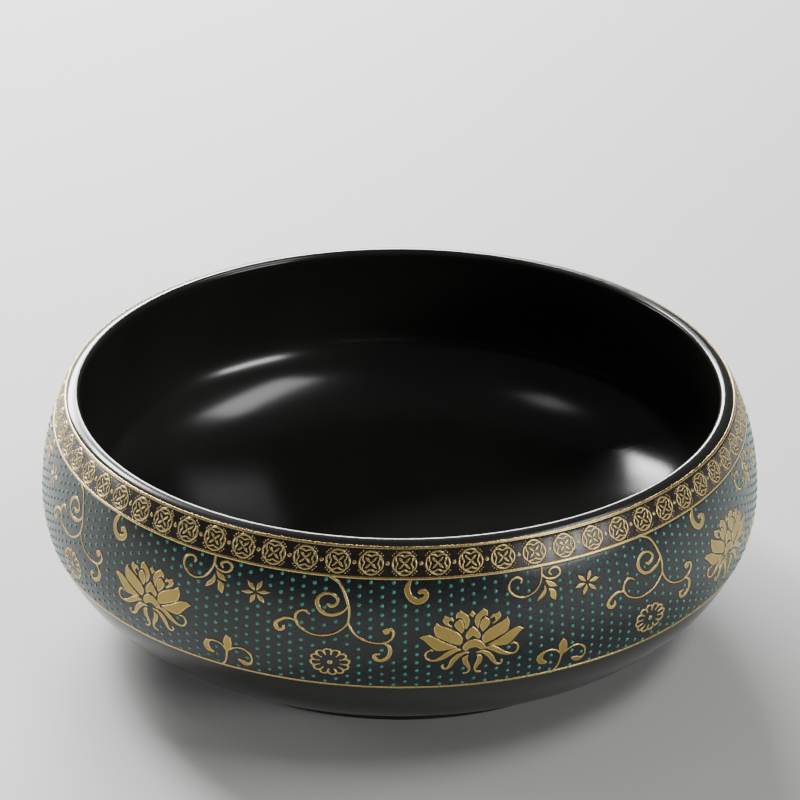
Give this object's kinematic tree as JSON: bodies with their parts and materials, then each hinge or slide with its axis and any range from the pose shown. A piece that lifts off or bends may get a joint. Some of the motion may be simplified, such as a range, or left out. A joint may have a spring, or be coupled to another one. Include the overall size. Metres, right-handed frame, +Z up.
{
  "type": "glazed bowl",
  "caption": "Low black-glazed ceramic bowl with a rounded belly, a low foot and a wall band of raised gold flowers and scrolls between gold lines.",
  "frame": {"origin": "centre of the circle on which the foot rests", "axes": "+Z up along the bowl's axis; -Y is the front, the side seen in the picture; +X is the viewer's right"},
  "size_m": [0.148, 0.1479, 0.05],
  "materials": {
    "clay": "unglazed, matt",
    "black_glaze": "gloss",
    "border_ground": "gloss, brown-black",
    "field_ground": "gloss, blue-black",
    "gold_lustre": "satin fired gold"
  },
  "bodies": {
    "root": {"stoneware_body": "clay", "glaze_coat": "black_glaze", "base_glaze": "black_glaze", "dot_field_ground": "field_ground", "border_ground": "border_ground", "upper_gold_line": "gold_lustre", "lower_gold_line": "gold_lustre", "base_gold_line": "gold_lustre", "daisy_1": "gold_lustre", "daisy_2": "gold_lustre", "daisy_3": "gold_lustre", "daisy_4": "gold_lustre", "daisy_5": "gold_lustre", "daisy_6": "gold_lustre", "daisy_7": "gold_lustre", "big_scroll_1": "gold_lustre", "big_scroll_2": "gold_lustre", "big_scroll_3": "gold_lustre", "big_scroll_4": "gold_lustre", "big_scroll_5": "gold_lustre", "big_scroll_6": "gold_lustre", "big_scroll_7": "gold_lustre", "small_curl_1": "gold_lustre", "small_curl_2": "gold_lustre", "small_curl_3": "gold_lustre", "small_curl_4": "gold_lustre", "small_curl_5": "gold_lustre", "small_curl_6": "gold_lustre", "small_curl_7": "gold_lustre", "lotus_1": "gold_lustre", "lotus_2": "gold_lustre", "lotus_3": "gold_lustre", "lotus_4": "gold_lustre", "lotus_5": "gold_lustre", "lotus_6": "gold_lustre", "lotus_7": "gold_lustre", "leaf_scroll_1": "gold_lustre", "leaf_scroll_2": "gold_lustre", "leaf_scroll_3": "gold_lustre", "leaf_scroll_4": "gold_lustre", "leaf_scroll_5": "gold_lustre", "leaf_scroll_6": "gold_lustre", "leaf_scroll_7": "gold_lustre", "base_sprig_1": "gold_lustre", "base_sprig_2": "gold_lustre", "base_sprig_3": "gold_lustre", "base_sprig_4": "gold_lustre", "base_sprig_5": "gold_lustre", "base_sprig_6": "gold_lustre", "base_sprig_7": "gold_lustre", "star_flower_1": "gold_lustre", "star_flower_2": "gold_lustre", "star_flower_3": "gold_lustre", "star_flower_4": "gold_lustre", "star_flower_5": "gold_lustre", "star_flower_6": "gold_lustre", "star_flower_7": "gold_lustre"}
  },
  "joints": []
}
